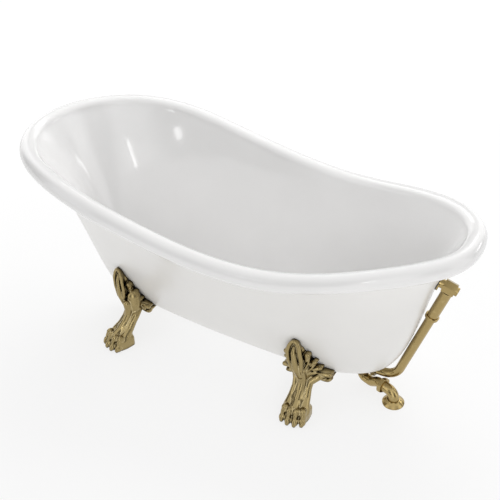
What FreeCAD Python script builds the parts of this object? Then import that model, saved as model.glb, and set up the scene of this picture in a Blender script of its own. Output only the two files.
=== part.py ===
import FreeCAD, Part
import math
import os
import re

import Sketcher
from FreeCAD import Placement, Rotation, Vector

# A free-standing single-slipper bathtub on four lion-paw feet, with an exposed waste and overflow.
# Millimetres. +Z is up, +X runs from the head end to the drain end, and the tub is alike on both
# sides of Y = 0. The origin is on the floor, under the middle of the tub's length and width.

document = FreeCAD.newDocument("Clawfoot_Bathtub")

# ---------------------------------------------------------------- driving dimensions

DIMENSIONS = {
    "Rim": [
        ("tub_length", 1700), ("tub_width", 786), ("widest_x", -270),
        ("head_exponent", 2.10), ("drain_exponent", 2.34),
        ("rim_low", 638), ("rim_low_x", 230),
        ("head_rise", 133), ("head_run", 900), ("drain_rise", 92), ("drain_run", 620),
        ("rim_roll", 64),
    ],
    "Outer shell": [
        ("hull_bottom", 107), ("hull_foot_head", -578), ("hull_foot_drain", 539),
        ("hull_foot_half_width", 118), ("hull_foot_widest_x", 300), ("hull_foot_exponent", 2.15),
        ("hull_lip_inset", 60), ("hull_lip_lean", 60), ("skin_edge_lean", 3), ("skin_thickness", 5),
    ],
    "Inner shell": [
        ("basin_floor", 141), ("basin_floor_fall", 12), ("basin_foot_head", -440),
        ("basin_foot_drain", 512), ("basin_foot_half_width", 96), ("basin_foot_widest_x", 220),
        ("basin_foot_exponent", 2.2), ("basin_thickness", 6), ("rim_join_above", 15), ("rim_join_below", 20),
    ],
    "Base board": [("board_edge_inset", 12)],
    "Feet": [
        ("foot_head_x", -404), ("foot_head_y", 244), ("foot_head_yaw", 18),
        ("foot_drain_x", 349), ("foot_drain_y", 264), ("foot_drain_yaw", -5),
        ("leg_waist_height", 150), ("leg_waist_share", 0.5), ("leg_top_height", 205),
        ("leg_tip_height", 268), ("leg_wall_standoff", 12),
        ("ankle_height", 80), ("ankle_width", 60), ("ankle_depth", 50),
        ("paw_width", 94), ("paw_reach", 50), ("heel_reach", 42), ("toe_height", 44),
        ("leaf_height", 300), ("leaf_thickness", 15), ("wing_height", 146), ("wing_span", 176),
        ("saddle_width", 52), ("saddle_height", 215), ("rib_thickness", 16),
        ("stud_head_y", 44), ("stud_drain_y", 88), ("stud_edge", 17),
    ],
    "Foot fasteners": [
        ("stud_thread", 10), ("stud_length", 44), ("washer_outer", 26), ("washer_thickness", 2),
        ("nut_flats", 17), ("nut_height", 8), ("insert_outer", 16), ("insert_length", 12),
    ],
    "Strainer": [
        ("drain_x", 497), ("strainer_outer", 76), ("strainer_thickness", 4), ("tail_outer", 40),
        ("tail_bore", 33), ("strainer_seat_depth", 2), ("gasket_thickness", 2), ("crossbar_width", 5),
        ("crossbar_depth", 5), ("hub_outer", 14), ("seat_bore", 46),
    ],
    "Shoe and trap": [
        ("shoe_flange_outer", 64), ("shoe_flange_thickness", 6), ("shoe_gasket_thickness", 3),
        ("shoe_outer", 50), ("shoe_bottom", 55), ("shoe_inlet_height", 77), ("shoe_inlet_outer", 40),
        ("shoe_inlet_reach", 44), ("swing_angle", 20),
        ("trap_outer", 36), ("pipe_wall", 2.5), ("trap_low", 27), ("trap_run", 46), ("trap_rise", 74),
        ("trap_reach", 98), ("outlet_height", 46), ("trap_bend_radius", 19.5),
        ("coupling_flats", 46), ("coupling_height", 9), ("coupling_play", 0.8), ("outlet_nut_flats", 50),
        ("outlet_nut_width", 16), ("trap_seal_width", 4),
    ],
    "Floor pipe": [
        ("elbow_outer", 39), ("elbow_radius", 27), ("floor_reach", 150),
        ("bell_outer", 78), ("bell_neck", 46), ("bell_height", 18), ("bell_lip", 4), ("bell_wall", 3),
    ],
    "Overflow": [
        ("overflow_height", 537), ("tube_lean", 18), ("tube_offset", 38), ("tube_outer", 33),
        ("tube_bend_radius", 62), ("sleeve_outer", 38), ("collar_outer", 47), ("collar_length", 12),
        ("collar_distance", 142), ("sleeve_overlap", 46), ("head_flats", 42), ("head_length", 42),
        ("head_neck_outer", 32), ("head_flange_outer", 56), ("head_flange_thickness", 5),
        ("head_cap_outer", 30), ("head_cap_length", 9), ("spigot_outer", 38), ("spigot_bore", 26),
        ("overflow_gasket_thickness", 2), ("plate_gasket_thickness", 3.5), ("plate_outer", 72),
        ("plate_edge", 2.5), ("plate_dome", 4), ("slot_width", 5), ("slot_length", 20), ("slot_pitch", 8),
        ("screw_spacing", 32), ("screw_thread", 4), ("screw_head", 7.6), ("screw_head_height", 2.4),
        ("screw_length", 22), ("spigot_short", 3),
        ("tube_nut_flats", 46), ("tube_nut_length", 16), ("tube_nut_grip", 6), ("tube_seal_width", 4),
    ],
    "Stopper": [
        ("post_diameter", 8), ("post_above_hub", 15), ("guide_outer", 14), ("guide_flange_outer", 19),
        ("guide_flange_thickness", 2), ("guide_length", 15), ("plug_boss_outer", 22),
        ("plug_outer", 58), ("plug_thickness", 5), ("plug_rise", 3), ("seal_thickness", 2),
        ("knob_neck", 10), ("knob_outer", 18), ("knob_height", 15), ("running_clearance", 0.05),
    ],
    "Fits": [("rest_gap", 0.3), ("hole_clearance", 0.5)],
}


def make_sheet():
    """Fill the spreadsheet: one titled block per group, with a name, an alias and a number per row."""
    sheet = document.addObject("Spreadsheet::Sheet", "Dimensions")
    row = 1
    for title, entries in DIMENSIONS.items():
        sheet.set(f"A{row}", title)
        row += 1
        for alias, number in entries:
            sheet.set(f"A{row}", alias.replace("_", " "))
            sheet.set(f"B{row}", str(number))
            sheet.setAlias(f"B{row}", alias)
            row += 1
    document.recompute()
    return sheet


sheet = make_sheet()


def size(alias):
    """Value of one driving dimension."""
    return float(getattr(sheet, alias))


# ---------------------------------------------------------------- shared tools

LABELS = []


def publish(thing, label):
    """Name a finished sub-part; the label becomes its file's name."""
    thing.Label = label
    LABELS.append(thing.Name)
    return thing


def feature(label, shape, placement=None):
    """A sub-part whose shape is worked out from the sheet in this file."""
    thing = document.addObject("Part::Feature", label)
    thing.Shape = shape
    thing.Placement = placement or shape.Placement
    return publish(thing, label)


def moved(shape, placement):
    """A copy of a shape at a placement."""
    copy = shape.copy()
    copy.Placement = placement.multiply(copy.Placement)
    return copy


def cylinder(diameter, length, base=Vector(), axis=Vector(0, 0, 1)):
    """A round bar that starts at base."""
    return Part.makeCylinder(diameter / 2, length, base, axis)


def tube(outer, inner, length, base=Vector(), axis=Vector(0, 0, 1)):
    """A straight pipe that starts at base."""
    return cylinder(outer, length, base, axis).cut(cylinder(inner, length, base, axis))


def hexagon_bar(across_flats, length, base=Vector(), axis=Vector(0, 0, 1), chamfered=True):
    """A hexagonal bar, with its corners turned down at both ends."""
    radius = across_flats / math.sqrt(3)
    corners = [Vector(radius * math.cos(math.radians(60 * k)), radius * math.sin(math.radians(60 * k)), 0)
               for k in range(7)]
    bar = Part.Face(Part.makePolygon(corners)).extrude(Vector(0, 0, length))
    if chamfered:
        turned = radius * 0.93
        step = min(radius - turned, length / 3)
        profile = [Vector(0, 0, 0), Vector(turned, 0, 0), Vector(turned + step, 0, step),
                   Vector(turned + step, 0, length - step), Vector(turned, 0, length), Vector(0, 0, length),
                   Vector(0, 0, 0)]
        lathe = Part.Face(Part.makePolygon(profile)).revolve(Vector(), Vector(0, 0, 1), 360)
        bar = bar.common(lathe)
    bar.Placement = Placement(base, Rotation(Vector(0, 0, 1), axis))
    return bar


def filleted_path(points, radius):
    """Straight runs joined by tangent arcs of one radius."""
    edges = []
    start = points[0]
    for before, corner, after in zip(points, points[1:], points[2:]):
        incoming = (corner - before).normalize()
        outgoing = (after - corner).normalize()
        turn = incoming.getAngle(outgoing)
        setback = radius * math.tan(turn / 2)
        arc_start = corner - incoming * setback
        arc_end = corner + outgoing * setback
        bisector = (outgoing - incoming).normalize()
        centre = corner + bisector * (radius / math.cos(turn / 2))
        arc_middle = centre - bisector * radius
        if (arc_start - start).Length > 1e-6:
            edges.append(Part.LineSegment(start, arc_start).toShape())
        edges.append(Part.Arc(arc_start, arc_middle, arc_end).toShape())
        start = arc_end
    if (points[-1] - start).Length > 1e-6:
        edges.append(Part.LineSegment(start, points[-1]).toShape())
    return Part.Wire(edges)


def swept(path, diameter):
    """A round bar along a path."""
    edge = path.Edges[0]
    begin = edge.valueAt(edge.FirstParameter)
    along = edge.tangentAt(edge.FirstParameter)
    circle = Part.Wire([Part.makeCircle(diameter / 2, begin, along)])
    return path.makePipeShell([circle], True, False)


def bent_pipe(points, radius, outer, wall):
    """A pipe with tangent bends."""
    path = filleted_path(points, radius)
    return swept(path, outer).cut(swept(path, outer - 2 * wall))


def formula(text):
    """The text of a formula, with each of its dimensions pointed at the sheet."""
    return re.sub(r"\b[a-z]+(?:_[a-z]+)+\b", r"Dimensions.\g<0>", text)


def number(text):
    """Value of a formula."""
    return float(sheet.evalExpression(formula(text)))


def turned_body(label, corners, base=None, swing=None, publish_it=True):
    """A lathe-turned piece: a sketch of (radius, height) formulas, revolved about Z."""
    body = document.addObject("PartDesign::Body", label)
    plane = [item for item in body.Origin.OriginFeatures if item.Role == "XZ_Plane"][0]
    sketch = body.newObject("Sketcher::SketchObject", label + "_section")
    sketch.AttachmentSupport = [(plane, "")]
    sketch.MapMode = "FlatFace"
    values = [(number(radius), number(height)) for radius, height in corners]
    count = len(values)
    for index in range(count):
        start, end = values[index], values[(index + 1) % count]
        sketch.addGeometry(Part.LineSegment(Vector(start[0], start[1], 0), Vector(end[0], end[1], 0)))
    for index in range(count):
        sketch.addConstraint(Sketcher.Constraint("Coincident", index, 2, (index + 1) % count, 1))
    for index, (radius, height) in enumerate(corners):
        tie(sketch, "DistanceX", index, f"radius_{index}", radius, values[index][0])
        tie(sketch, "DistanceY", index, f"height_{index}", height, values[index][1])
    revolution = body.newObject("PartDesign::Revolution", label + "_turning")
    revolution.Profile = sketch
    revolution.ReferenceAxis = (sketch, ["V_Axis"])
    revolution.Angle = 360
    for axis, text in zip("xyz", base or ("", "", "")):
        if text:
            body.setExpression("Placement.Base." + axis, formula(text))
    if swing:
        body.Placement = Placement(Vector(), swing)
    return publish(body, label) if publish_it else body


def tie(sketch, kind, index, name, text, value):
    """Hold a sketch corner's distance from an axis, tied to the sheet unless it is on the axis."""
    if abs(value) < 1e-9:
        axis = -2 if kind == "DistanceX" else -1
        sketch.addConstraint(Sketcher.Constraint("PointOnObject", index, 1, axis))
        return
    constraint = sketch.addConstraint(Sketcher.Constraint(kind, -1, 1, index, 1, value))
    sketch.renameConstraint(constraint, name)
    sketch.setExpression("Constraints." + name, formula(text))


def ring_section(outer, inner, low, high):
    """Corners of a plain ring, from formulas for its diameters and its two ends."""
    return [(f"({inner}) / 2", low), (f"({outer}) / 2", low), (f"({outer}) / 2", high),
            (f"({inner}) / 2", high)]


# ---------------------------------------------------------------- forms of the tub


def rim_height(x):
    """Height of the rim's crest: two cosine ramps that rise from the low point to the ends."""
    low_x = size("rim_low_x")
    to_head = min(max((low_x - x) / size("head_run"), 0), 1)
    to_drain = min(max((x - low_x) / size("drain_run"), 0), 1)
    head = size("head_rise") * (1 - math.cos(math.pi * to_head)) / 2
    drain = size("drain_rise") * (1 - math.cos(math.pi * to_drain)) / 2
    return size("rim_low") + head + drain


def egg(angle, head_x, drain_x, half_width, widest_x, head_exponent, drain_exponent):
    """Point of an egg-shaped outline made of two half superellipses."""
    c, s = math.cos(angle), math.sin(angle)
    exponent = drain_exponent if c >= 0 else head_exponent
    reach = drain_x - widest_x if c >= 0 else widest_x - head_x
    return Vector(widest_x + reach * math.copysign(abs(c) ** (2 / exponent), c),
                  half_width * math.copysign(abs(s) ** (2 / exponent), s), 0)


def rim_outline(angle, inset):
    """Plan point of the rim's outer edge, moved inwards by inset."""
    half = size("tub_length") / 2

    def outline(a):
        return egg(a, -half, half, size("tub_width") / 2, size("widest_x"),
                   size("head_exponent"), size("drain_exponent"))

    step = math.radians(1.5)
    along = outline(angle + step) - outline(angle - step)
    inward = Vector(-along.y, along.x, 0).normalize()
    return outline(angle) + inward * inset


OUTLINE_POINTS = 72
ANGLES = [2 * math.pi * k / OUTLINE_POINTS for k in range(OUTLINE_POINTS)]

# How the wall leaves the floor and reaches the rim at the side, the head end and the drain end:
# straight is the share of even slope, flare the share that turns out just below the rim.
HULL_WALL = {"straight": (0.76, 0.73, 0.27), "flare": (0.06, 0.14, 0.26), "round": 2.5, "flare_power": 5}
BASIN_WALL = {"straight": (0.74, 0.80, 0.30), "flare": (0.05, 0.10, 0.24), "round": 2.3, "flare_power": 5}
WALL_LEVELS = [0, 0.012, 0.04, 0.09, 0.17, 0.28, 0.42, 0.58, 0.74, 0.88, 1.0]
TOP_ABOVE_RIM = 120


def spread(angle, wall, level):
    """Share of the way from the foot outline to the lip outline that the wall has gone at a level."""
    c, s = math.cos(angle), math.sin(angle)
    side, head, drain = wall["straight"]
    straight = side * s * s + (drain if c >= 0 else head) * c * c
    side, head, drain = wall["flare"]
    flare = side * s * s + (drain if c >= 0 else head) * c * c
    power = wall["round"]
    rounded = max(1 - (1 - level) ** power, 0) ** (1 / power)
    return (straight * level + (1 - straight) * rounded) * (1 - flare) + flare * level ** wall["flare_power"]


def closed_wire(points):
    """Smooth closed wire through points."""
    curve = Part.BSplineCurve()
    curve.interpolate(Points=points, PeriodicFlag=True)
    return Part.Wire([curve.toShape()])


def wall_wires(foot_point, foot_height, lips, wall):
    """Closed wires that climb a tub wall from its flat foot to its lip."""
    wires = []
    for level in WALL_LEVELS:
        points = []
        for angle, lip in zip(ANGLES, lips):
            foot = foot_point(angle)
            share = spread(angle, wall, level)
            base = foot_height(foot.x)
            points.append(Vector(foot.x + (lip.x - foot.x) * share, foot.y + (lip.y - foot.y) * share,
                                 base + (lip.z - base) * level))
        wires.append(closed_wire(points))
    return wires


def sewn_solid(faces):
    """Solid inside faces that close on each other."""
    shell = Part.makeShell(faces)
    shell.sewShape()
    solid = Part.Solid(shell)
    if solid.Volume < 0:
        solid.reverse()
    return solid


def lip_line(inset, drop):
    """Points that follow the rim, moved inwards by inset and down from its crest by drop."""
    points = []
    for angle in ANGLES:
        middle = rim_outline(angle, size("rim_roll") / 2)
        place = rim_outline(angle, inset)
        points.append(Vector(place.x, place.y, rim_height(middle.x) - drop))
    return points


def rim_line(around, radius):
    """Points along the rim at an angle round its section; 0 is the side that faces the water."""
    middle = size("rim_roll") / 2
    return lip_line(middle + radius * math.cos(around), middle - radius * math.sin(around))


def filled_solid(wires, lip_inset, lip_lean):
    """Solid below a tub wall's wires, carried on past the rim to a flat top."""
    top = size("rim_low") + size("head_rise") + TOP_ABOVE_RIM
    outer = [rim_outline(angle, lip_inset - lip_lean) for angle in ANGLES]
    above = closed_wire([Vector(point.x, point.y, top) for point in outer])
    lower = Part.makeLoft(wires, False, False)
    upper = Part.makeLoft([wires[-1], above], False, True)
    return sewn_solid(lower.Faces + upper.Faces + [Part.Face(wires[0]), Part.Face(above)])


def hull_wires(inset):
    """Wires of the outer shell's form, moved inwards by inset (outwards where it is negative)."""
    def foot(angle):
        return egg(angle, size("hull_foot_head") + inset, size("hull_foot_drain") - inset,
                   size("hull_foot_half_width") - inset, size("hull_foot_widest_x"),
                   size("hull_foot_exponent"), size("hull_foot_exponent"))

    lips = lip_line(size("hull_lip_inset") + inset, size("rim_roll"))
    return wall_wires(foot, lambda x: size("hull_bottom") + inset, lips, HULL_WALL)


def hull_solid(inset):
    """Solid inside the outer shell's form."""
    return filled_solid(hull_wires(inset), size("hull_lip_inset") + inset, size("hull_lip_lean"))


def basin_floor_height(x):
    """Height of the basin's floor, which falls to the drain end."""
    length = size("basin_foot_drain") - size("basin_foot_head")
    return size("basin_floor") + size("basin_floor_fall") * (size("basin_foot_drain") - x) / length


def basin_wires(outset, lip):
    """Wires of the basin's wall, moved outwards by outset, up to an angle round the rim's section."""
    def foot(angle):
        return egg(angle, size("basin_foot_head") - outset, size("basin_foot_drain") + outset,
                   size("basin_foot_half_width") + outset, size("basin_foot_widest_x"),
                   size("basin_foot_exponent"), size("basin_foot_exponent"))

    lips = rim_line(math.radians(lip), size("rim_roll") / 2)
    return wall_wires(foot, lambda x: basin_floor_height(x) - outset, lips, BASIN_WALL)


def basin_solid(outset, lip):
    """Solid inside the basin's wall."""
    inset = size("rim_roll") / 2 * (1 + math.cos(math.radians(lip)))
    return filled_solid(basin_wires(outset, lip), inset, 0)


# ---------------------------------------------------------------- overflow line and wall places

LEAN = math.radians(size("tube_lean"))
WALL_OUT = Vector(math.cos(LEAN), 0, -math.sin(LEAN))
TUBE_DOWN = Vector(-math.sin(LEAN), 0, -math.cos(LEAN))


def wall_place(solid, height):
    """Point where the drain end's wall stands at a height, on the tub's middle plane."""
    line = Part.makeLine(Vector(0, 0, height), Vector(size("tub_length"), 0, height))
    inside = line.common(solid)
    return inside.BoundBox.XMax


hull_outer = hull_solid(0)
basin_outer = basin_solid(size("basin_thickness"), -size("rim_join_below"))
basin_inner = basin_solid(0, size("rim_join_above"))

overflow_wall = Vector(wall_place(hull_outer, size("overflow_height")), 0, size("overflow_height"))
water_line = Part.makeLine(overflow_wall - WALL_OUT * 120, overflow_wall).common(basin_inner)
basin_wall = max((vertex.Point for vertex in water_line.Vertexes), key=lambda point: point.x)

# ---------------------------------------------------------------- tub shells and board


def make_basin():
    """Inner shell that rolls over into the rim, with the strainer's seat and the overflow hole."""
    inside = basin_wires(0, size("rim_join_above"))
    outside = basin_wires(size("basin_thickness"), -size("rim_join_below"))
    turn = 360 - size("rim_join_above") - size("rim_join_below")
    steps = 13
    roll = [closed_wire(rim_line(math.radians(size("rim_join_above") + turn * k / steps),
                                 size("rim_roll") / 2)) for k in range(1, steps)]
    upper = Part.makeLoft(inside + roll + outside[-1:], False, False)
    lower = Part.makeLoft(outside, False, False)
    shell = sewn_solid(upper.Faces + lower.Faces + [Part.Face(inside[0]), Part.Face(outside[0])])
    seat = cylinder(size("strainer_outer") + 2 * size("hole_clearance"), 60,
                    Vector(size("drain_x"), 0, strainer_seat()))
    hole = cylinder(size("tail_outer") + 2 * size("hole_clearance"), 120, Vector(size("drain_x"), 0, 60))
    spigot = overflow_bore(size("spigot_outer") + 2 * size("hole_clearance"))
    return shell.cut(seat).cut(hole).cut(spigot)


def strainer_seat():
    """Height of the flat seat under the strainer's gasket."""
    return basin_floor_height(size("drain_x")) - size("strainer_seat_depth")


def overflow_bore(diameter):
    """Hole for the overflow through both shells, square to the drain end's wall."""
    depth = 80
    return cylinder(diameter, depth, overflow_wall - WALL_OUT * (depth - 20), WALL_OUT)


def make_skin():
    """Outer shell, tucked under the rim, with its holes."""
    thickness = size("skin_thickness")
    outside, inside = hull_wires(0), hull_wires(thickness)
    middle, reach = size("rim_roll") / 2, size("rim_roll") / 2 + size("rest_gap")
    edge_inset = size("hull_lip_inset") - size("skin_edge_lean")
    drop = middle + math.sqrt(reach ** 2 - (edge_inset - middle) ** 2)
    outside.append(closed_wire(lip_line(edge_inset, drop)))
    inside.append(closed_wire(lip_line(edge_inset + thickness, drop)))
    faces = [Part.Face(outside[0]), Part.Face(inside[0])]
    for wires, ruled in ((outside, False), (inside, False), ([outside[-1], inside[-1]], True)):
        faces += Part.makeLoft(wires, False, ruled).Faces
    shell = sewn_solid(faces)
    bottom = size("hull_bottom") - 20
    hole = cylinder(size("tail_outer") + 2 * size("hole_clearance"), 60, Vector(size("drain_x"), 0, bottom))
    shell = shell.cut(hole).cut(overflow_bore(size("spigot_outer") + 2 * size("hole_clearance")))
    for x, y in stud_places():
        shell = shell.cut(cylinder(size("stud_thread") + 2 * size("hole_clearance"), 60, Vector(x, y, bottom)))
    return shell


def stud_places():
    """Plan places of the four foot studs."""
    places = []
    for side in (-1, 1):
        for end in ("head", "drain"):
            places.append((size(f"foot_{end}_x"), side * size(f"stud_{end}_y")))
    return places


def make_board():
    """Board that fills the space between the two floors."""
    inset = size("skin_thickness") + size("board_edge_inset")
    outline = [egg(angle, size("hull_foot_head") + inset, size("hull_foot_drain") - inset,
                   size("hull_foot_half_width") - inset, size("hull_foot_widest_x"),
                   size("hull_foot_exponent"), size("hull_foot_exponent")) for angle in ANGLES]
    bottom = size("hull_bottom") + size("skin_thickness")
    wire = closed_wire([Vector(point.x, point.y, bottom) for point in outline])
    thickness = basin_floor_height(size("basin_foot_head")) - size("basin_thickness") - bottom
    board = Part.Face(wire).extrude(Vector(0, 0, thickness)).cut(basin_outer)
    board = board.cut(cylinder(size("tail_outer") + 2 * size("hole_clearance"), 120,
                               Vector(size("drain_x"), 0, bottom - 20)))
    for x, y in stud_places():
        board = board.cut(cylinder(size("insert_outer"), size("insert_length"), Vector(x, y, bottom)))
    return board


basin_shape = make_basin()
skin_shape = make_skin()
feature("inner_basin", basin_shape)
feature("outer_skin", skin_shape)
feature("base_board", make_board())

# ---------------------------------------------------------------- feet
# Each foot is made about its own floor point: U runs along the tub, V points away from it, W is up.


def ellipse_wire(v_centre, w, u_radius, v_radius):
    """Level ellipse in the middle of the foot."""
    if u_radius >= v_radius:
        curve = Part.Ellipse(Vector(0, v_centre, w), u_radius, v_radius)
    else:
        curve = Part.Ellipse(Vector(0, v_centre + v_radius, w), Vector(-u_radius, v_centre, w),
                             Vector(0, v_centre, w))
    return Part.Wire([curve.toShape()])


def side_profile(x):
    """The outer shell's side at a station, as (half width, height) pairs from the bottom up."""
    points = []
    for wire in hull_outer.slice(Vector(1, 0, 0), x):
        points += [(point.y, point.z) for point in wire.discretize(1600) if point.y > 1]
    flat = [point for point in points if point[1] < size("hull_bottom") + 0.01]
    rising = sorted((point for point in points if point[1] >= size("hull_bottom") + 0.01),
                    key=lambda point: point[1])
    return [max(flat)] + rising


def half_width_at(profile, z):
    """Half width of a side profile at a height."""
    for lower, upper in zip(profile, profile[1:]):
        if upper[1] >= z:
            share = (z - lower[1]) / max(upper[1] - lower[1], 1e-9)
            return lower[0] + (upper[0] - lower[0]) * share
    return profile[-1][0]


def wall_side(x, z):
    """Half width of the outer shell at a station and height."""
    return half_width_at(side_profile(x), z)


def side_block(x, half_span, growth):
    """Solid like the tub's front lower side near a foot, grown by a thickness."""
    bottom = size("hull_bottom")
    heights = [bottom + rise for rise in (0, 3, 8, 16, 30, 55, 90, 135, 185, 235)]
    wires = []
    for k in range(7):
        station = x + half_span * (k - 3) / 3
        profile = side_profile(station)
        line = [(half_width_at(profile, z), z) for z in heights]
        grown = [(line[0][0], bottom - growth)]
        for before, here, after in zip(line, line[1:], line[2:] + line[-1:]):
            along = Vector(after[0] - before[0], after[1] - before[1], 0).normalize()
            grown.append((here[0] + along.y * growth, here[1] - along.x * growth))
        side = Part.BSplineCurve()
        side.interpolate([Vector(station, -y, z) for y, z in grown])
        start, end = side.value(side.FirstParameter), side.value(side.LastParameter)
        inner_low, inner_high = Vector(station, 0, start.z), Vector(station, 0, end.z)
        wires.append(Part.Wire([Part.LineSegment(inner_low, start).toShape(), side.toShape(),
                                Part.LineSegment(end, inner_high).toShape(),
                                Part.LineSegment(inner_high, inner_low).toShape()]))
    return Part.makeLoft(wires, True, False)


def leg(x, y):
    """Leg from the instep through the ankle and in to the tub's side, where it ends in a tip."""
    width, depth = size("ankle_width") / 2, size("ankle_depth") / 2
    waist, top, tip = size("leg_waist_height"), size("leg_top_height"), size("leg_tip_height")
    ankle = size("ankle_height")
    top_lean = y - wall_side(x, top) - size("leg_wall_standoff")
    tip_lean = y - wall_side(x, tip) - 0.4 * size("leg_wall_standoff")
    waist_lean = size("leg_waist_share") * top_lean
    stations = [
        (0.45 * ankle, 0.0, 1.25, 1.35), (ankle, 0.16 * top_lean, 1.0, 1.0),
        ((ankle + waist) / 2, 0.6 * waist_lean, 0.94, 0.92), (waist, waist_lean, 1.08, 1.05),
        ((waist + top) / 2, (waist_lean + top_lean) / 2, 1.3, 1.15), (top, top_lean, 1.35, 1.0),
        ((top + tip) / 2, (top_lean + tip_lean) / 2, 0.95, 0.65), (tip, tip_lean, 0.3, 0.25),
    ]
    wires = [ellipse_wire(-v, w, width * across, depth * deep) for w, v, across, deep in stations]
    return Part.makeLoft(wires, True, False)


def blob(centre, radii):
    """Egg form with three radii."""
    ball = Part.makeSphere(1.0)
    matrix = FreeCAD.Matrix()
    matrix.scale(radii[0], radii[1], radii[2])
    ball = ball.transformGeometry(matrix)
    ball.Placement = Placement(centre, Rotation())
    return ball


def paw():
    """Heel, instep and four toes with claws."""
    half, toe_top = size("paw_width") / 2, size("toe_height")
    forms = [
        blob(Vector(0, -0.15 * size("heel_reach"), 0.45 * toe_top),
             (0.88 * half, size("heel_reach"), 0.95 * toe_top)),
        blob(Vector(0, 0.30 * size("paw_reach"), 0.62 * toe_top),
             (0.86 * half, 0.72 * size("paw_reach"), 0.62 * toe_top)),
    ]
    toe_radius = half / 3.4
    for k in range(4):
        place = (k - 1.5) / 1.5
        u = place * (half - toe_radius)
        reach = size("paw_reach") * (1.0 - 0.22 * place * place)
        forms.append(blob(Vector(0.94 * u, 0.62 * reach, 0.60 * toe_top),
                          (1.04 * toe_radius, 0.34 * reach + 4, 0.40 * toe_top)))
        forms.append(blob(Vector(u, reach, 0.30 * toe_top),
                          (toe_radius, 0.26 * reach, 0.36 * toe_top)))
    return forms


def leaf_outline():
    """Flat outlines of the leaf bracket in U and W: centre, long and short radius, and tilt."""
    top, wing, span = size("leaf_height"), size("wing_height"), size("wing_span")
    length = top - wing
    outlines = [(0, top - 0.50 * length, 0.50 * length, 24, 90)]
    for side in (-1, 1):
        outlines += [
            (side * 0.20 * length, wing + 0.60 * length, 0.27 * length, 15, 90 - side * 24),
            (side * 0.28 * length, wing + 0.42 * length, 0.25 * length, 15, 90 - side * 46),
            (side * 0.30 * length, wing + 0.22 * length, 0.25 * length, 15, 90 - side * 66),
            (side * 0.27 * span, wing + 0.03 * length, 0.25 * span, 16, 90 - side * 82),
            (side * 0.20 * span, wing - 0.12 * length, 0.20 * span, 14, 90 - side * 96),
        ]
    return outlines


def leaf_bars():
    """The bracket's outlines as bars along V, before they are trimmed to the tub's side."""
    reach = 400
    bars = []
    for u, w, long_radius, short_radius, tilt in leaf_outline():
        curve = Part.Ellipse(Vector(0, 0, 0), long_radius, short_radius)
        bar = Part.Face(Part.Wire([curve.toShape()])).extrude(Vector(0, 0, reach))
        upright = Rotation(Vector(1, 0, 0), 90).multiply(Rotation(Vector(0, 0, 1), tilt))
        bar.Placement = Placement(Vector(u, reach / 4, w), upright)
        bars.append(bar)
    return bars



def make_foot(end):
    """A front foot: paw and leg, a leaf on the tub's side and a saddle that wraps below it."""
    x, y, stud_y = size(f"foot_{end}_x"), size(f"foot_{end}_y"), size(f"stud_{end}_y")
    place = Placement(Vector(x, -y, 0), Rotation(Vector(0, 0, 1), 180 - size(f"foot_{end}_yaw")))
    half_span = size("wing_span") / 2 + 20
    inner_y = stud_y - size("stud_edge")
    side = side_block(x, half_span + 10, size("rest_gap"))
    grown_side = side_block(x, half_span, size("rest_gap") + size("leaf_thickness"))
    region = Part.makeBox(2 * half_span, y - inner_y, size("leaf_height"), Vector(x - half_span, -y, 60))
    pad = region.common(grown_side).cut(side)
    bars = [moved(bar, place) for bar in leaf_bars()]
    leaf = bars[0].multiFuse(bars[1:]).common(pad)
    strip = Part.makeBox(size("saddle_width"), y - inner_y, size("saddle_height") - 60,
                         Vector(x - size("saddle_width") / 2, -y, 60))
    saddle = pad.common(strip)
    top_lean = y - wall_side(x, size("leg_top_height")) - size("leg_wall_standoff")
    low, high = size("ankle_height") + 48, size("leg_top_height") - 28
    near, inside = y - 0.3 * top_lean, wall_side(x, low) - 10
    corners = [Vector(x - size("rib_thickness") / 2, -near, low),
               Vector(x - size("rib_thickness") / 2, -y + 0.8 * top_lean, high),
               Vector(x - size("rib_thickness") / 2, -inside, high),
               Vector(x - size("rib_thickness") / 2, -inside, low - 12)]
    rib = Part.Face(Part.makePolygon(corners + corners[:1])).extrude(Vector(size("rib_thickness"), 0, 0))
    limb = [moved(form, place) for form in [leg(x, y)] + paw()]
    foot = limb[0].multiFuse(limb[1:] + [rib]).cut(side)
    foot = foot.multiFuse([leaf, saddle])
    floor = Part.makeBox(400, 400, 100, Vector(x - 200, -y - 200, -100))
    hole = cylinder(size("stud_thread") + 2 * size("hole_clearance"), 200, Vector(x, -stud_y, 0))
    foot = foot.cut(floor).cut(hole)
    print("foot", end, foot.isValid(), [round(piece.Volume) for piece in foot.Solids], len(foot.Faces))
    return max(foot.Solids, key=lambda piece: piece.Volume)


for end in ("head", "drain"):
    front = make_foot(end)
    feature(f"foot_{end}_front", front)
    feature(f"foot_{end}_back", front.mirror(Vector(), Vector(0, 1, 0)))

# ---------------------------------------------------------------- foot fasteners

board_bottom = size("hull_bottom") + size("skin_thickness")
saddle_underside = size("hull_bottom") - size("rest_gap") - size("leaf_thickness")


def group(pieces):
    """Alike pieces as separate solids of one sub-part."""
    return Part.makeCompound(pieces)


def at_studs(make_piece):
    """One copy of a fastener at each stud."""
    return group([make_piece(Vector(x, y, 0)) for x, y in stud_places()])


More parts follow.
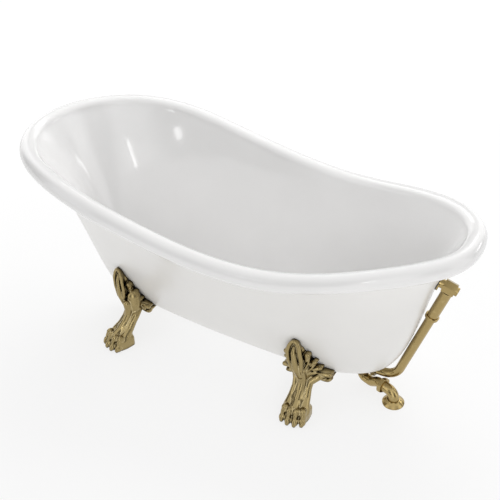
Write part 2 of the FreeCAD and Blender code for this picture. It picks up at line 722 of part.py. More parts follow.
stud_top = board_bottom + size("insert_length") - size("rest_gap")
washer_bottom = saddle_underside - size("washer_thickness")
feature("foot_studs", at_studs(lambda base: cylinder(
    size("stud_thread") - 0.2, size("stud_length"), base + Vector(0, 0, stud_top - size("stud_length")))))
feature("foot_inserts", at_studs(lambda base: tube(
    size("insert_outer") - 0.2, size("stud_thread"), size("insert_length") - 0.2,
    base + Vector(0, 0, board_bottom))))
feature("foot_washers", at_studs(lambda base: tube(
    size("washer_outer"), size("stud_thread") + 0.6, size("washer_thickness"),
    base + Vector(0, 0, washer_bottom))))
feature("foot_nuts", at_studs(lambda base: hexagon_bar(
    size("nut_flats"), size("nut_height"), base + Vector(0, 0, washer_bottom - size("nut_height"))).cut(
        cylinder(size("stud_thread"), 100, base + Vector(0, 0, washer_bottom - 60)))))

# ---------------------------------------------------------------- strainer and stopper
# Heights as formulas on the sheet, from the strainer's seat upwards.

FALL = "basin_floor_fall * (basin_foot_drain - drain_x) / (basin_foot_drain - basin_foot_head)"
SEAT = f"(basin_floor + {FALL} - strainer_seat_depth)"
FLANGE_BOTTOM = f"({SEAT} + gasket_thickness)"
FLANGE_TOP = f"({FLANGE_BOTTOM} + strainer_thickness)"
HUB_TOP = f"({FLANGE_BOTTOM} - 2 * crossbar_depth)"
POST_TOP = f"({HUB_TOP} + post_above_hub)"
GUIDE_BOTTOM = f"({HUB_TOP} + rest_gap)"
GUIDE_SHOULDER = f"({GUIDE_BOTTOM} + guide_flange_thickness)"
GUIDE_TOP = f"({GUIDE_SHOULDER} + guide_length)"
PLUG_BOTTOM = f"({FLANGE_TOP} + rest_gap + seal_thickness)"
PLUG_EDGE = f"({PLUG_BOTTOM} + plug_thickness)"
PLUG_TOP = f"({PLUG_EDGE} + plug_rise)"
AT_DRAIN = ("drain_x", "", "")

tail_bottom = size("shoe_inlet_height") + size("shoe_inlet_outer") / 2 - 6
at_drain = Placement(Vector(size("drain_x"), 0, 0), Rotation())


def make_strainer():
    """Flange and threaded tail with two crossbars and a hub for the post."""
    flange_bottom, hub_top = number(FLANGE_BOTTOM), number(HUB_TOP)
    flange = cylinder(size("strainer_outer"), size("strainer_thickness"), Vector(0, 0, flange_bottom))
    tail = cylinder(size("tail_outer"), flange_bottom - tail_bottom, Vector(0, 0, tail_bottom))
    bore = cylinder(size("tail_bore"), 200, Vector(0, 0, tail_bottom - 20))
    funnel = Part.makeCone(size("tail_bore") / 2, size("seat_bore") / 2, size("strainer_thickness"),
                           Vector(0, 0, flange_bottom))
    strainer = flange.fuse(tail).cut(bore).cut(funnel)
    strainer = strainer.makeFillet(1.2, [edge for edge in strainer.Edges
                                         if abs(edge.BoundBox.ZMin - number(FLANGE_TOP)) < 1e-6
                                         and edge.BoundBox.XMax > size("strainer_outer") / 2 - 1])
    bars = []
    hub_bottom = hub_top - size("crossbar_depth")
    for turn in (0, 90):
        bar = Part.makeBox(size("tail_bore") + 2, size("crossbar_width"), size("crossbar_depth"),
                           Vector(-size("tail_bore") / 2 - 1, -size("crossbar_width") / 2, hub_bottom))
        bar.rotate(Vector(), Vector(0, 0, 1), turn)
        bars.append(bar)
    hub = cylinder(size("hub_outer"), size("crossbar_depth"), Vector(0, 0, hub_bottom))
    strainer = strainer.multiFuse(bars + [hub])
    return strainer.cut(cylinder(size("post_diameter"), 100, Vector(0, 0, hub_bottom - 50)))


feature("drain_strainer", make_strainer(), at_drain)
turned_body("strainer_gasket", ring_section("strainer_outer", "tail_outer + 2 * rest_gap",
                                            SEAT, FLANGE_BOTTOM), AT_DRAIN)
turned_body("shoe_gasket", ring_section("shoe_flange_outer", "tail_outer + 2 * rest_gap",
                                        "hull_bottom - shoe_gasket_thickness", "hull_bottom"), AT_DRAIN)
turned_body("stopper_post", [
    ("0", f"{HUB_TOP} - crossbar_depth"),
    ("post_diameter / 2 - running_clearance - 0.8", f"{HUB_TOP} - crossbar_depth"),
    ("post_diameter / 2 - running_clearance", f"{HUB_TOP} - crossbar_depth + 0.8"),
    ("post_diameter / 2 - running_clearance", f"{POST_TOP} - 0.8"),
    ("post_diameter / 2 - running_clearance - 0.8", POST_TOP), ("0", POST_TOP)], AT_DRAIN)
turned_body("stopper_guide", [
    ("post_diameter / 2", GUIDE_BOTTOM), ("guide_flange_outer / 2", GUIDE_BOTTOM),
    ("guide_flange_outer / 2", GUIDE_SHOULDER), ("guide_outer / 2", GUIDE_SHOULDER),
    ("guide_outer / 2", GUIDE_TOP), ("post_diameter / 2", GUIDE_TOP)], AT_DRAIN)
turned_body("stopper_plug", [
    ("guide_outer / 2 + running_clearance", f"{GUIDE_SHOULDER} + rest_gap"),
    ("plug_boss_outer / 2", f"{GUIDE_SHOULDER} + rest_gap"), ("plug_boss_outer / 2", PLUG_BOTTOM),
    ("plug_outer / 2", PLUG_BOTTOM), ("plug_outer / 2", f"{PLUG_EDGE} - 1.5"),
    ("plug_outer / 2 - 1.5", PLUG_EDGE), ("0.72 * plug_outer / 2", f"{PLUG_EDGE} + 0.45 * plug_rise"),
    ("0.4 * plug_outer / 2", f"{PLUG_EDGE} + 0.85 * plug_rise"), ("0", PLUG_TOP),
    ("0", f"{GUIDE_TOP} + 0.5"), ("guide_outer / 2 + running_clearance", f"{GUIDE_TOP} + 0.5")], AT_DRAIN)
turned_body("stopper_knob", [
    ("0", PLUG_TOP), ("knob_neck / 2", PLUG_TOP), ("0.8 * knob_neck / 2", f"{PLUG_TOP} + 0.35 * knob_height"),
    ("0.92 * knob_outer / 2", f"{PLUG_TOP} + 0.55 * knob_height"),
    ("knob_outer / 2", f"{PLUG_TOP} + 0.7 * knob_height"),
    ("0.92 * knob_outer / 2", f"{PLUG_TOP} + 0.85 * knob_height"),
    ("0.6 * knob_outer / 2", f"{PLUG_TOP} + 0.97 * knob_height"), ("0", f"{PLUG_TOP} + knob_height")],
    AT_DRAIN)
turned_body("stopper_seal", ring_section("plug_outer - 2", "plug_boss_outer",
                                         f"{PLUG_BOTTOM} - seal_thickness", PLUG_BOTTOM), AT_DRAIN)

# ---------------------------------------------------------------- shoe, trap and floor pipe

swing = Placement(Vector(size("drain_x"), 0, 0), Rotation(Vector(0, 0, 1), -size("swing_angle")))
inlet_height = size("shoe_inlet_height")
shoe_top = size("hull_bottom") - size("shoe_gasket_thickness")


def make_shoe():
    """Tee under the drain: flange on top, side inlet for the overflow, trap below."""
    flange = cylinder(size("shoe_flange_outer"), size("shoe_flange_thickness"),
                      Vector(0, 0, shoe_top - size("shoe_flange_thickness")))
    barrel = cylinder(size("shoe_outer"), shoe_top - size("shoe_bottom"), Vector(0, 0, size("shoe_bottom")))
    inlet = cylinder(size("shoe_inlet_outer"), size("shoe_inlet_reach"), Vector(0, 0, inlet_height),
                     Vector(1, 0, 0))
    shoe = flange.multiFuse([barrel, inlet])
    bore = cylinder(size("trap_outer") - 2 * size("pipe_wall"), 200, Vector(0, 0, size("shoe_bottom") - 50))
    socket = cylinder(size("tail_outer") + 0.6, 100, Vector(0, 0, tail_bottom - size("rest_gap")))
    side_bore = cylinder(size("tube_outer") - 4, 200, Vector(0, 0, inlet_height), Vector(1, 0, 0))
    side_socket = cylinder(size("tube_outer") + 0.6, 100, Vector(size("shoe_outer") / 2 + 5, 0, inlet_height),
                           Vector(1, 0, 0))
    return shoe.cut(bore).cut(socket).cut(side_bore).cut(side_socket)


feature("drain_shoe", make_shoe(), at_drain)

trap_top = size("shoe_bottom") - size("rest_gap")
trap_end = Vector(size("trap_reach"), 0, size("outlet_height"))
outlet_axis = Vector(1, 0, 0)
elbow_bore = size("elbow_outer") + 2 * size("rest_gap")


def make_trap():
    """Trap: down, along, up and out."""
    points = [Vector(0, 0, trap_top), Vector(0, 0, size("trap_low")),
              Vector(size("trap_run"), 0, size("trap_low")),
              Vector(size("trap_rise"), 0, size("outlet_height")), trap_end]
    return bent_pipe(points, size("trap_bend_radius"), size("trap_outer"), size("pipe_wall"))


def make_inlet_nut():
    """Nut that holds the trap under the shoe."""
    base = Vector(0, 0, trap_top - size("coupling_height"))
    nut = hexagon_bar(size("coupling_flats"), size("coupling_height"), base)
    return nut.cut(cylinder(size("trap_outer") + 2 * size("coupling_play"), 60, base - Vector(0, 0, 20)))


def make_outlet_nut():
    """Slip nut that holds the floor pipe to the trap."""
    start = trap_end - outlet_axis * size("outlet_nut_width") / 2
    nut = hexagon_bar(size("outlet_nut_flats"), size("outlet_nut_width"), start, outlet_axis)
    return nut.cut(cylinder(elbow_bore, 60, start - outlet_axis * 20, outlet_axis))


def make_elbow():
    """Floor pipe: out of the nut and down through the floor flange."""
    reach = size("floor_reach")
    points = [trap_end + outlet_axis * size("rest_gap"), Vector(reach, 0, size("outlet_height")),
              Vector(reach, 0, 0)]
    return bent_pipe(points, size("elbow_radius"), size("elbow_outer"), size("pipe_wall"))


def make_trap_seal():
    """Ring that seals the trap's outlet inside its nut."""
    width = size("trap_seal_width")
    return tube(elbow_bore, size("trap_outer"), width, trap_end - outlet_axis * width, outlet_axis)


feature("trap_bend", make_trap(), swing)
feature("trap_inlet_nut", make_inlet_nut(), swing)
feature("trap_outlet_nut", make_outlet_nut(), swing)
feature("trap_seal", make_trap_seal(), swing)
feature("tail_elbow", make_elbow(), swing)
turned_body("floor_flange", [
    ("elbow_outer / 2 + rest_gap", "bell_height"), ("elbow_outer / 2 + rest_gap", "bell_height - 2 * bell_wall"),
    ("bell_outer / 2 - 2.5 * bell_wall", "bell_lip + 1"), ("bell_outer / 2 - bell_wall", "0"),
    ("bell_outer / 2", "0"), ("bell_outer / 2", "bell_lip"), ("bell_outer / 2 - 1.5", "bell_lip + 1.5"),
    ("0.5 * bell_outer / 2 + 0.5 * bell_neck / 2", "0.5 * bell_lip + 0.5 * bell_height"),
    ("bell_neck / 2 + 1", "bell_height - 2"), ("bell_neck / 2", "bell_height")],
    ("drain_x + floor_reach * cos(swing_angle * 1deg)", "-floor_reach * sin(swing_angle * 1deg)", ""))

# ---------------------------------------------------------------- overflow

tube_axis_top = overflow_wall + WALL_OUT * size("tube_offset")
socket_top = size("head_flats") / 2 - 4
inlet_end = Vector(size("drain_x") + size("shoe_inlet_reach"), 0, inlet_height)


def tube_place(distance):
    """Point of the overflow tube's upper line, so far below the head's middle."""
    return tube_axis_top + TUBE_DOWN * distance


def make_overflow_tube():
    """Lower tube: down along the wall, then level into the shoe."""
    start = tube_place(size("collar_distance") - size("sleeve_overlap"))
    drop = (start.z - inlet_height) / math.cos(LEAN)
    corner = start + TUBE_DOWN * drop
    end = Vector(size("drain_x") + size("shoe_outer") / 2 + 5 + size("rest_gap"), 0, inlet_height)
    return bent_pipe([end, corner, start], size("tube_bend_radius"), size("tube_outer"), size("pipe_wall"))


def make_sleeve():
    """Upper tube with the collar at its lower end."""
    length = size("collar_distance") - socket_top
    sleeve = cylinder(size("sleeve_outer"), length, tube_place(socket_top), TUBE_DOWN)
    collar = cylinder(size("collar_outer"), size("collar_length"),
                      tube_place(size("collar_distance") - size("collar_length") / 2), TUBE_DOWN)
    collar = collar.makeChamfer(1.5, collar.Edges[0:1] + collar.Edges[2:3])
    bore = cylinder(size("tube_outer") + 2 * size("rest_gap"), 400, tube_place(socket_top) - TUBE_DOWN,
                    TUBE_DOWN)
    return sleeve.fuse(collar).cut(bore)


def spigot_end():
    """Inner end of the spigot, just short of the basin's inner face."""
    return basin_wall + WALL_OUT * size("spigot_short")


def screw_line(side):
    """Place of a face plate screw where it enters the spigot."""
    return spigot_end() + Vector(0, side * size("screw_spacing") / 2, 0)


def make_head():
    """Casting behind the rim: flange and spigot at the wall, hex body over the tube, round cap."""
    flange_start = overflow_wall + WALL_OUT * size("overflow_gasket_thickness")
    middle = tube_axis_top
    flange = cylinder(size("head_flange_outer"), size("head_flange_thickness"), flange_start, WALL_OUT)
    neck = cylinder(size("head_neck_outer"), (middle - flange_start).Length, flange_start, WALL_OUT)
    body = hexagon_bar(size("head_flats"), size("head_length"), middle - WALL_OUT * size("head_length") / 2,
                       WALL_OUT)
    cap = cylinder(size("head_cap_outer"), size("head_length") / 2 + size("head_cap_length"), middle, WALL_OUT)
    cap = cap.makeFillet(2, [edge for edge in cap.Edges if edge.BoundBox.XMin > middle.x + 20])
    reach = (overflow_wall - spigot_end()).Length
    spigot = cylinder(size("spigot_outer"), reach + 4, spigot_end(), WALL_OUT)
    head = flange.multiFuse([neck, body, cap, spigot])
    bore = cylinder(size("spigot_bore"), reach + size("tube_offset") + 4, spigot_end() - WALL_OUT, WALL_OUT)
    socket = cylinder(size("sleeve_outer") + 2 * size("rest_gap"), 60,
                      tube_place(socket_top - size("rest_gap")), TUBE_DOWN)
    down_bore = cylinder(size("spigot_bore"), 60, tube_place(0), TUBE_DOWN)
    head = head.cut(bore).cut(socket).cut(down_bore)
    for side in (-1, 1):
        head = head.cut(cylinder(size("screw_thread"), size("screw_length"), screw_line(side) - WALL_OUT,
                                 WALL_OUT))
    return head


def make_overflow_gasket():
    """Gasket between the head's flange and the tub's curved end."""
    behind = 12
    disc = cylinder(size("head_flange_outer"), behind + size("overflow_gasket_thickness"),
                    overflow_wall - WALL_OUT * behind, WALL_OUT)
    parts = disc.cut(overflow_bore(size("spigot_outer") + 2 * size("hole_clearance"))).cut(skin_shape)
    return max(parts.Solids, key=lambda piece: piece.CenterOfMass.dot(WALL_OUT))


plate_back = basin_wall - WALL_OUT * size("plate_gasket_thickness")
along_wall = Placement(plate_back, Rotation(Vector(0, 0, 1), WALL_OUT * -1))
screw_seat = size("plate_edge") + 0.6 * size("plate_dome")


def make_plate_gasket():
    """Gasket between the face plate and the basin's curved end."""
    disc = cylinder(size("plate_outer") - 4, size("plate_gasket_thickness") + 5, plate_back, WALL_OUT)
    parts = disc.cut(overflow_bore(size("spigot_outer") + 2 * size("hole_clearance"))).cut(basin_shape)
    return min(parts.Solids, key=lambda piece: piece.CenterOfMass.dot(WALL_OUT))


def make_plate():
    """Domed face plate with upright slots and two seats for screws."""
    radius, edge, dome = size("plate_outer") / 2, size("plate_edge"), size("plate_dome")
    ball = (radius ** 2 + dome ** 2) / (2 * dome)
    disc = cylinder(size("plate_outer"), edge + dome)
    plate = disc.common(Part.makeSphere(ball, Vector(0, 0, edge + dome - ball)))
    hollow = Part.makeSphere(ball, Vector(0, 0, dome - ball)).common(cylinder(size("plate_outer") - 24, dome))
    plate = plate.cut(hollow)
    for k in (-1, 0, 1):
        middle = k * size("slot_pitch")
        plate = plate.cut(Part.makeBox(size("slot_length"), size("slot_width"), 4 * dome,
                                       Vector(-size("slot_length") / 2, middle - size("slot_width") / 2, -dome)))
    for side in (-1, 1):
        place = Vector(0, side * size("screw_spacing") / 2, 0)
        plate = plate.cut(cylinder(size("screw_thread") + 0.4, 40, place - Vector(0, 0, 20)))
        plate = plate.cut(cylinder(size("screw_head") + 0.6, 20, place + Vector(0, 0, screw_seat)))
    return moved(plate, along_wall)


def make_screws():
    """Two screws that hold the face plate to the spigot."""
    screws = []
    for side in (-1, 1):
        place = Vector(0, side * size("screw_spacing") / 2, screw_seat)
        head = cylinder(size("screw_head"), size("screw_head_height"), place)
        head = head.makeFillet(1.2, [edge for edge in head.Edges
                                     if edge.BoundBox.ZMin > screw_seat + size("screw_head_height") - 1e-6])
        shank = cylinder(size("screw_thread") - 0.1, size("screw_length"),
                         place - Vector(0, 0, size("screw_length")))
        notch = Part.makeBox(20, 1.2, 2, place + Vector(-10, -0.6, size("screw_head_height") - 1.2))
        screws.append(moved(head.fuse(shank).cut(notch), along_wall))
    return group(screws)


def make_tube_seal():
    """Ring that seals the lower tube where it enters the shoe."""
    return tube(size("shoe_inlet_outer"), size("tube_outer"), size("tube_seal_width"), inlet_end,
                outlet_axis)


def make_tube_nut():
    """Nut over the shoe's inlet that presses the ring."""
    start = inlet_end - outlet_axis * size("tube_nut_grip")
    nut = hexagon_bar(size("tube_nut_flats"), size("tube_nut_length"), start, outlet_axis)
    wide = cylinder(size("shoe_inlet_outer") + 2 * size("rest_gap"),
                    size("tube_nut_grip") + size("tube_seal_width") + 20, start - outlet_axis * 20, outlet_axis)
    narrow = cylinder(size("tube_outer") + 2 * size("rest_gap"), 100, start - outlet_axis * 20, outlet_axis)
    return nut.cut(wide).cut(narrow)


feature("overflow_tube", make_overflow_tube())
feature("overflow_tube_nut", make_tube_nut())
feature("overflow_tube_seal", make_tube_seal())
feature("overflow_sleeve", make_sleeve())
feature("overflow_head", make_head())
feature("overflow_gasket", make_overflow_gasket())
feature("overflow_plate", make_plate())
feature("overflow_plate_gasket", make_plate_gasket())
feature("overflow_screws", make_screws())

# ---------------------------------------------------------------- check and write


def check_and_write():
    """Recompute, refuse a failed object or an invalid shape, and write one file per sub-part."""
    document.recompute()
    for thing in document.Objects:
        if "Invalid" in thing.State or "Error" in thing.State:
            raise RuntimeError(f"{thing.Label} failed to recompute")
    os.makedirs("parts", exist_ok=True)
    for name in LABELS:
        thing = document.getObject(name)
        shape = thing.Shape
        if shape.isNull() or not shape.isValid() or not shape.Solids:
            raise RuntimeError(f"{thing.Label} has no valid solid")
        shape.exportStep(os.path.join("parts", thing.Label + ".step"))
        print(thing.Label, len(shape.Solids), round(shape.Volume), [round(v) for v in (
            shape.BoundBox.XMin, shape.BoundBox.XMax, shape.BoundBox.YMin, shape.BoundBox.YMax,
            shape.BoundBox.ZMin, shape.BoundBox.ZMax)])


check_and_write()
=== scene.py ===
import math

import bpy
import numpy as np
import openvdb
from mathutils import Matrix, Vector


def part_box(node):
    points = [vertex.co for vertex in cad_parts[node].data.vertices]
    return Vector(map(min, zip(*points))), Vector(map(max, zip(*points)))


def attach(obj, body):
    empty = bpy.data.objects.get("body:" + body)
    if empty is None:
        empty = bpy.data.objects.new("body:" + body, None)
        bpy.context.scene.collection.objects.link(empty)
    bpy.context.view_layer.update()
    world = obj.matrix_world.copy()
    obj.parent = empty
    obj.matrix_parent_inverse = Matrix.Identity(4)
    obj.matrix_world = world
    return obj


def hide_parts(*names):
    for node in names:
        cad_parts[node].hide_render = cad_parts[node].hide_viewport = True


# A white slipper bathtub with a rolled rim, four antique brass lion-paw feet on leaf brackets and an
# exposed brass overflow tube, trap and floor pipe. Forms are worked out in millimetres in the frame
# of the CAD part and put into the scene in metres.

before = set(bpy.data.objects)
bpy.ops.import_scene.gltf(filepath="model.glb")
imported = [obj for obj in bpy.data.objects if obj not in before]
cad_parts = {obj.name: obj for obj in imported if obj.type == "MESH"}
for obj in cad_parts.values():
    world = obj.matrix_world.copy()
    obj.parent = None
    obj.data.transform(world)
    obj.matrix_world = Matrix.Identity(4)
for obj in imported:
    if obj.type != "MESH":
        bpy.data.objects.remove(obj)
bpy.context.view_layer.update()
MM = 0.001

# ---------------------------------------------------------------- tub surfaces

RIM_ROLL = 32.0
HULL = {"straight": (0.76, 0.73, 0.27), "flare": (0.06, 0.14, 0.26), "round": 2.5}
BASIN = {"straight": (0.74, 0.80, 0.30), "flare": (0.05, 0.10, 0.24), "round": 2.3}
HULL_BOTTOM = 107.0
AROUND = 420
# head end, drain end, half width and widest station of each outline, then its power at either end
RIM_EDGE = (-850, 850, 393, -270, 2.10, 2.34)
HULL_FOOT = (-578, 539, 118, 300, 2.15, 2.15)
BASIN_FOOT = (-440, 512, 96, 220, 2.2, 2.2)
LOW_STATION, LOW_CREST = 230, 638
HEAD_RUN, HEAD_RISE = 900, 66.5
DRAIN_RUN, DRAIN_RISE = 620, 46
FLOOR_LEVEL, FLOOR_FALL = 141, 12
LIP_INSET, LIP_DROP = 60, 64
BASIN_WALL, HULL_WALL = 6, 5.0
OVERFLOW_HOLE, BASIN_DRAIN_HOLE, HULL_DRAIN_HOLE = (21, 40), (26, 40), (24, 60)  # radius and reach


def egg(angle, head_x, drain_x, half_width, widest_x, head_power, drain_power):
    """Egg-shaped outline made of two half superellipses."""
    c, s = np.cos(angle), np.sin(angle)
    power = np.where(c >= 0, drain_power, head_power)
    reach = np.where(c >= 0, drain_x - widest_x, widest_x - head_x)
    return np.stack([widest_x + reach * np.sign(c) * np.abs(c) ** (2 / power),
                     half_width * np.sign(s) * np.abs(s) ** (2 / power)], -1)


def rim_outline(angle, inset):
    """The rim's outer edge seen from above, moved inwards by inset."""
    def edge(a):
        return egg(a, *RIM_EDGE)

    step = math.radians(1.5)
    along = edge(angle + step) - edge(angle - step)
    inward = np.stack([-along[:, 1], along[:, 0]], -1)
    inward /= np.linalg.norm(inward, axis=1, keepdims=True)
    return edge(angle) + inward * np.reshape(inset, (-1, 1))


def rim_height(x):
    """Height of the rim's crest."""
    head = np.clip((LOW_STATION - x) / HEAD_RUN, 0, 1)
    drain = np.clip((x - LOW_STATION) / DRAIN_RUN, 0, 1)
    return (LOW_CREST + HEAD_RISE * (1 - np.cos(math.pi * head))
            + DRAIN_RISE * (1 - np.cos(math.pi * drain)))


def lip_line(angle, inset, drop):
    """Line that follows the rim, in by inset and down from its crest by drop."""
    middle = rim_outline(angle, RIM_ROLL)
    place = rim_outline(angle, inset)
    return np.concatenate([place, (rim_height(middle[:, 0]) - drop)[:, None]], 1)


def spread(angle, wall, level):
    """Share of the way outwards that a wall has gone at a level."""
    c, s = np.cos(angle), np.sin(angle)
    side, head, drain = wall["straight"]
    straight = side * s * s + np.where(c >= 0, drain, head) * c * c
    side, head, drain = wall["flare"]
    flare = side * s * s + np.where(c >= 0, drain, head) * c * c
    rounded = np.maximum(1 - (1 - level) ** wall["round"], 0) ** (1 / wall["round"])
    return (straight * level + (1 - straight) * rounded) * (1 - flare) + flare * level ** 5


def wall_ring(angle, foot, base, lip, wall, level):
    """One closed line round a wall."""
    share = spread(angle, wall, level)[:, None]
    flat = foot + (lip[:, :2] - foot) * share
    return np.concatenate([flat, (base + (lip[:, 2] - base) * level)[:, None]], 1)


def rim_ring(angle, around, radius=RIM_ROLL):
    """One closed line on the rolled rim; around is 0 on the water side and grows over the crest."""
    return lip_line(angle, RIM_ROLL + radius * math.cos(around), RIM_ROLL - radius * math.sin(around))


def foot_outline(angle, outline, outset=0.0):
    """Outline at the bottom of a wall, moved outwards by outset."""
    head_x, drain_x, half_width, *rest = outline
    return egg(angle, head_x - outset, drain_x + outset, half_width + outset, *rest)


def basin_floor(x):
    """Height of the water side's floor, which falls towards the drain."""
    return FLOOR_LEVEL + FLOOR_FALL * (BASIN_FOOT[1] - x) / (BASIN_FOOT[1] - BASIN_FOOT[0])


def hull_half_width(x, z):
    """Half width of the outer shell at stations x and one height."""
    angle = np.linspace(0.0005, math.pi - 0.0005, 700)
    lip = lip_line(angle, LIP_INSET, LIP_DROP)
    level = np.clip((z - HULL_BOTTOM) / (lip[:, 2] - HULL_BOTTOM), 0, 1)
    foot = foot_outline(angle, HULL_FOOT)
    flat = foot + (lip[:, :2] - foot) * spread(angle, HULL, level)[:, None]
    order = np.argsort(flat[:, 0])
    return np.interp(x, flat[order, 0], flat[order, 1], left=0, right=0)


def lathe_rings(rings, closed_start=None, closed_end=None):
    """Vertices and quads through closed lines, with a filled disc at either end on request."""
    first, last = [], []
    if closed_start is not None:
        centre = rings[0].mean(0)
        first = [centre + (rings[0] - centre) * k / closed_start for k in range(1, closed_start)]
    if closed_end is not None:
        centre = rings[-1].mean(0)
        last = [centre + (rings[-1] - centre) * k / closed_end for k in range(closed_end - 1, 0, -1)]
    stack = np.array(first + list(rings) + last)
    count, around = stack.shape[:2]
    points = stack.reshape(-1, 3)
    row = np.arange(around)
    faces = []
    for k in range(count - 1):
        here, above = k * around, (k + 1) * around
        faces.append(np.stack([here + row, here + (row + 1) % around, above + (row + 1) % around,
                               above + row], 1))
    return points, np.concatenate(faces)


def new_mesh(name, points, faces, material):
    """Smooth mesh object from millimetre points."""
    mesh = bpy.data.meshes.new(name)
    mesh.from_pydata((points * MM).tolist(), [], faces.tolist())
    mesh.validate()
    mesh.polygons.foreach_set("use_smooth", [True] * len(mesh.polygons))
    mesh.materials.append(material)
    mesh.update()
    thing = bpy.data.objects.new(name, mesh)
    bpy.context.scene.collection.objects.link(thing)
    return thing


# ---------------------------------------------------------------- materials


def node_material(name):
    """A new material with its node tree and shader."""
    material = bpy.data.materials.new(name)
    material.use_nodes = True
    tree = material.node_tree
    return material, tree, tree.nodes["Principled BSDF"]


def add(tree, kind, **values):
    """A node with its sockets and settings filled in."""
    node = tree.nodes.new(kind)
    for key, value in values.items():
        if key in node.inputs.keys():
            node.inputs[key].default_value = value
        else:
            setattr(node, key, value)
    return node


def place_noise(tree, scale, detail=3.0, roughness=0.5):
    """Noise in object space."""
    place = add(tree, "ShaderNodeTexCoord")
    noise = add(tree, "ShaderNodeTexNoise", Scale=scale, Detail=detail, Roughness=roughness)
    tree.links.new(place.outputs["Object"], noise.inputs["Vector"])
    return noise.outputs["Fac"]


def ramp(tree, source, stops):
    """Colours at stops along a value."""
    node = add(tree, "ShaderNodeValToRGB")
    band = node.color_ramp
    while len(band.elements) < len(stops):
        band.elements.new(0.5)
    for element, (place, colour) in zip(band.elements, stops):
        element.position = place
        element.color = (*colour, 1.0)
    tree.links.new(source, node.inputs["Fac"])
    return node.outputs["Color"]


def span(tree, source, low, high, to_low, to_high):
    """Map Range node."""
    node = add(tree, "ShaderNodeMapRange")
    for key, value in zip(("From Min", "From Max", "To Min", "To Max"), (low, high, to_low, to_high)):
        node.inputs[key].default_value = value
    tree.links.new(source, node.inputs["Value"])
    return node.outputs["Result"]


def bump(tree, shader, source, strength, distance):
    """Fine relief from a value."""
    node = add(tree, "ShaderNodeBump", Strength=strength, Distance=distance)
    tree.links.new(source, node.inputs["Height"])
    tree.links.new(node.outputs["Normal"], shader.inputs["Normal"])


def enamel(name, light, shade, rough, coat):
    """Glossy white sanitary surface with a trace of waviness and slight clouding."""
    material, tree, shader = node_material(name)
    cloud = place_noise(tree, 3.0, 4.0)
    tree.links.new(ramp(tree, cloud, [(0.35, shade), (0.65, light)]), shader.inputs["Base Color"])
    gloss = span(tree, place_noise(tree, 9.0, 2.0), 0.3, 0.7, rough, rough + 0.05)
    tree.links.new(gloss, shader.inputs["Roughness"])
    shader.inputs["IOR"].default_value = 1.5
    shader.inputs["Coat Weight"].default_value = coat
    shader.inputs["Coat Roughness"].default_value = 0.05
    bump(tree, shader, place_noise(tree, 14.0, 1.0), 0.03, 0.002)
    return material


def antique_brass(name, patina_and_shade_dark, middle, bright, rough, cavity=False, scale=60.0):
    """Patinated brass: darker in hollows and rubbed bright on ridges; with cavity it also gets painted shade,
    darker where ambient occlusion finds close surfaces.
    """
    material, tree, shader = node_material(name)
    cloud = place_noise(tree, scale, 5.0, 0.6)
    if cavity:
        geometry = add(tree, "ShaderNodeNewGeometry")
        hollow = span(tree, geometry.outputs["Pointiness"], 0.40, 0.56, 0.0, 1.0)
        patina = ramp(tree, hollow, [(0.0, patina_and_shade_dark), (0.42, middle), (0.62, middle), (1.0, bright)])
        # painted shade: ambient occlusion within 14 mm pulls the colour towards the dark tone in recesses and
        # between parts, on top of the patina from pointiness
        painted_shade_occlusion = add(tree, "ShaderNodeAmbientOcclusion", samples=8, Distance=0.014)
        painted_shade_factor = span(tree, painted_shade_occlusion.outputs["AO"], 0.35, 0.95, 0.0, 1.0)
        patina_under_painted_shade = add(tree, "ShaderNodeMix", data_type="RGBA")
        tree.links.new(painted_shade_factor, patina_under_painted_shade.inputs["Factor"])
        patina_under_painted_shade.inputs["A"].default_value = (*patina_and_shade_dark, 1.0)
        tree.links.new(patina, patina_under_painted_shade.inputs["B"])
        colour = patina_under_painted_shade.outputs["Result"]
    else:
        colour = ramp(tree, cloud, [(0.25, middle), (0.55, middle), (0.85, bright)])
    tree.links.new(colour, shader.inputs["Base Color"])
    shader.inputs["Metallic"].default_value = 1.0
    tree.links.new(span(tree, cloud, 0.3, 0.7, rough - 0.05, rough + 0.08), shader.inputs["Roughness"])
    bump(tree, shader, place_noise(tree, scale * 6, 2.0), 0.05, 0.0006)
    return material


def plain(name, first, second, rough, metallic=0.0, scale=40.0, grain=None):
    """Mottled material for small parts and the board."""
    material, tree, shader = node_material(name)
    if grain:
        place = add(tree, "ShaderNodeTexCoord")
        stretch = add(tree, "ShaderNodeMapping")
        stretch.inputs["Scale"].default_value = grain
        noise = add(tree, "ShaderNodeTexNoise", Scale=scale, Detail=6.0)
        tree.links.new(place.outputs["Object"], stretch.inputs["Vector"])
        tree.links.new(stretch.outputs["Vector"], noise.inputs["Vector"])
        source = noise.outputs["Fac"]
    else:
        source = place_noise(tree, scale, 4.0)
    tree.links.new(ramp(tree, source, [(0.3, first), (0.7, second)]), shader.inputs["Base Color"])
    tree.links.new(span(tree, source, 0.3, 0.7, rough - 0.05, rough + 0.08), shader.inputs["Roughness"])
    shader.inputs["Metallic"].default_value = metallic
    bump(tree, shader, source, 0.08, 0.0008)
    return material


INNER_ENAMEL = enamel("inner_enamel", (0.83, 0.825, 0.82), (0.80, 0.795, 0.79), 0.08, 0.3)
OUTER_ENAMEL = enamel("outer_enamel", (0.82, 0.81, 0.79), (0.79, 0.78, 0.76), 0.28, 0.1)
